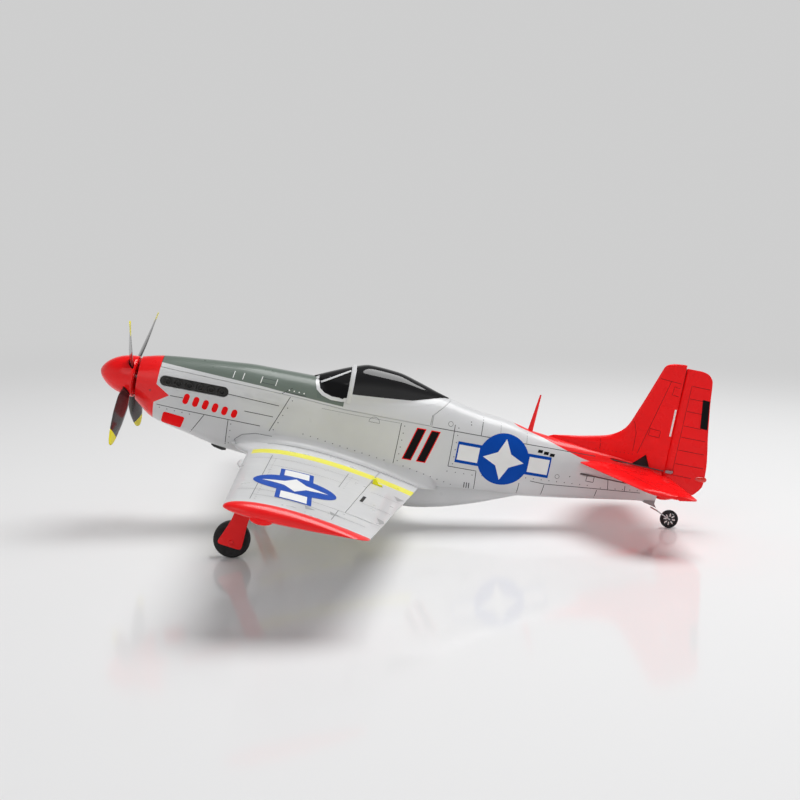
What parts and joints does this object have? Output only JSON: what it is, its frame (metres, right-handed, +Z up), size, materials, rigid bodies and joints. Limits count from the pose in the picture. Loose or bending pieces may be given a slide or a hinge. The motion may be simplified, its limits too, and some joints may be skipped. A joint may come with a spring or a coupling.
{
  "type": "rc foam airplane",
  "caption": "Low-wing foam model aeroplane with nose propeller, hinged ailerons, elevator and rudder, lift-off canopy hatch, belly scoop and fixed tailwheel landing gear.",
  "frame": {"origin": "on the floor under the middle of the aeroplane's length, on its centreline, standing on its three wheels", "axes": "+X towards the tail, +Y towards the aeroplane's right wing tip, +Z up; the nose points to -X and is raised about ten degrees"},
  "size_m": [0.4874, 0.5604, 0.1669],
  "materials": {
    "silver_foam": "satin silver-grey paint over moulded foam",
    "red_foam": "satin red paint over moulded foam",
    "red_plastic": "gloss red",
    "green_foam": "satin grey-green anti-glare paint over foam",
    "smoked_canopy": "gloss smoked black",
    "silver_trim": "satin silver",
    "black_plastic": "semi-gloss moulded black",
    "steel_wire": "plain spring wire",
    "motor_alloy": "machined",
    "foam_tyre": "matt black foam",
    "dark_hub": "matt black",
    "white_plastic": "moulded nylon",
    "yellow_plastic": "moulded nylon, painted with the wing stripe",
    "carbon_tube": "satin carbon fibre",
    "battery_wrap": "shrink wrap",
    "circuit_board": "board in heat-shrink"
  },
  "bodies": {
    "airframe": {"fuselage_left": "silver_foam", "fuselage_right": "silver_foam", "belly_scoop": "silver_foam", "exhaust_left": "black_plastic", "exhaust_right": "black_plastic", "aerial_mast": "red_plastic", "nose_skid": "black_plastic", "wing_left": "silver_foam", "wing_right": "silver_foam", "spar_tube": "carbon_tube", "fin": "red_foam", "stabilizer": "red_foam", "tail_bracket": "black_plastic", "tail_wire": "steel_wire", "main_leg_left": "steel_wire", "main_leg_right": "steel_wire", "gear_door_left": "red_plastic", "gear_door_right": "red_plastic", "motor_mount": "black_plastic", "motor": "motor_alloy", "battery": "battery_wrap", "battery_tray": "white_plastic", "receiver_board": "circuit_board", "aileron_servo": "black_plastic", "elevator_servo": "black_plastic", "rudder_servo": "black_plastic"},
    "propeller": {"spinner": "red_plastic", "spinner_backplate": "black_plastic", "propeller": "black_plastic", "prop_shaft": "steel_wire"},
    "hatch": {"hatch_deck": "green_foam", "canopy_glass": "smoked_canopy", "canopy_bow": "silver_trim"},
    "aileron_left": {"aileron_left": "silver_foam", "torque_rod_left": "steel_wire", "aileron_horn_left": "yellow_plastic"},
    "aileron_right": {"aileron_right": "silver_foam", "torque_rod_right": "steel_wire", "aileron_horn_right": "yellow_plastic"},
    "aileron_servo_arm": {"aileron_servo_arm": "white_plastic"},
    "aileron_link_left": {"aileron_link_left": "steel_wire"},
    "aileron_link_right": {"aileron_link_right": "steel_wire"},
    "elevator": {"elevator_left": "red_foam", "elevator_right": "red_foam", "elevator_horn": "white_plastic", "elevator_joiner": "white_plastic"},
    "elevator_pushrod": {"elevator_pushrod": "steel_wire"},
    "elevator_servo_arm": {"elevator_servo_arm": "white_plastic"},
    "rudder": {"rudder": "red_foam", "rudder_horn": "white_plastic"},
    "rudder_pushrod": {"rudder_pushrod": "steel_wire"},
    "rudder_servo_arm": {"rudder_servo_arm": "white_plastic"},
    "main_wheel_left": {"left_tyre": "foam_tyre", "left_hub": "dark_hub"},
    "main_wheel_right": {"right_tyre": "foam_tyre", "right_hub": "dark_hub"},
    "tail_wheel": {"tail_tyre": "foam_tyre", "tail_hub": "dark_hub"}
  },
  "joints": [
    {"name": "propeller_spin", "type": "hinge", "parent": "airframe", "child": "propeller", "pos_m": [-0.21521, 0, 0.11914], "axis": [0.981, -0.0785, -0.1773], "continuous": true},
    {"name": "hatch_lift", "type": "slide", "parent": "airframe", "child": "hatch", "axis": [0.1778, 0, 0.9841], "range_m": [0, 0.04]},
    {"name": "aileron_left_hinge", "type": "hinge", "parent": "airframe", "child": "aileron_left", "pos_m": [-0.03007, -0.0695, 0.05201], "axis": [-0.1359, -0.9883, 0.0698], "range_deg": [-20, 20]},
    {"name": "aileron_right_hinge", "type": "hinge", "parent": "airframe", "child": "aileron_right", "pos_m": [-0.03007, 0.0695, 0.05201], "axis": [-0.1359, 0.9883, 0.0698], "range_deg": [-20.5, 20.5]},
    {"name": "aileron_servo_turn", "type": "hinge", "parent": "airframe", "child": "aileron_servo_arm", "pos_m": [-0.05613, 0, 0.06031], "axis": [0.1778, 0, 0.9841], "range_deg": [-22, 22]},
    {"name": "aileron_link_left_slide", "type": "slide", "parent": "airframe", "child": "aileron_link_left", "axis": [0.9841, 0, -0.1778], "range_m": [-0.0035, 0.0035]},
    {"name": "aileron_link_right_slide", "type": "slide", "parent": "airframe", "child": "aileron_link_right", "axis": [0.9841, 0, -0.1778], "range_m": [-0.0035, 0.0035]},
    {"name": "elevator_hinge", "type": "hinge", "parent": "airframe", "child": "elevator", "pos_m": [0.19515, 0, 0.04498], "axis": [0, 1, 0], "range_deg": [-20, 20]},
    {"name": "elevator_pushrod_slide", "type": "slide", "parent": "airframe", "child": "elevator_pushrod", "axis": [0.9788, -0.0827, -0.1875], "range_m": [-0.004, 0.004]},
    {"name": "elevator_servo_turn", "type": "hinge", "parent": "airframe", "child": "elevator_servo_arm", "pos_m": [0.04863, -0.0023, 0.0552], "axis": [0, 1, 0], "range_deg": [-25, 25]},
    {"name": "rudder_hinge", "type": "hinge", "parent": "airframe", "child": "rudder", "pos_m": [0.20843, 0, 0.04258], "axis": [0.1778, 0, 0.9841], "range_deg": [-20, 20]},
    {"name": "rudder_pushrod_slide", "type": "slide", "parent": "airframe", "child": "rudder_pushrod", "axis": [0.978, -0.0449, -0.2036], "range_m": [-0.003, 0.003]},
    {"name": "rudder_servo_turn", "type": "hinge", "parent": "airframe", "child": "rudder_servo_arm", "pos_m": [0.05165, 0.0016, 0.07193], "axis": [0, 1, 0], "range_deg": [-18.5, 18.5]},
    {"name": "main_wheel_left_spin", "type": "hinge", "parent": "airframe", "child": "main_wheel_left", "pos_m": [-0.1328, -0.0969, 0.0134], "axis": [0, 1, 0], "continuous": true},
    {"name": "main_wheel_right_spin", "type": "hinge", "parent": "airframe", "child": "main_wheel_right", "pos_m": [-0.1328, 0.0969, 0.0134], "axis": [0, 1, 0], "continuous": true},
    {"name": "tail_wheel_spin", "type": "hinge", "parent": "airframe", "child": "tail_wheel", "pos_m": [0.21303, 0, 0.0073], "axis": [0, 1, 0], "continuous": true}
  ],
  "couplings": [
    {"joint": "aileron_right_hinge", "follows": "aileron_left_hinge", "ratio": 1},
    {"joint": "aileron_servo_turn", "follows": "aileron_left_hinge", "ratio": -0.9312},
    {"joint": "aileron_link_left_slide", "follows": "aileron_left_hinge", "m_per_rad": -0.007822},
    {"joint": "aileron_link_right_slide", "follows": "aileron_left_hinge", "m_per_rad": 0.007822},
    {"joint": "elevator_pushrod_slide", "follows": "elevator_hinge", "m_per_rad": -0.009467},
    {"joint": "elevator_servo_turn", "follows": "elevator_hinge", "ratio": -1.1834},
    {"joint": "rudder_pushrod_slide", "follows": "rudder_hinge", "m_per_rad": 0.00699},
    {"joint": "rudder_servo_turn", "follows": "rudder_hinge", "ratio": 0.8737}
  ]
}
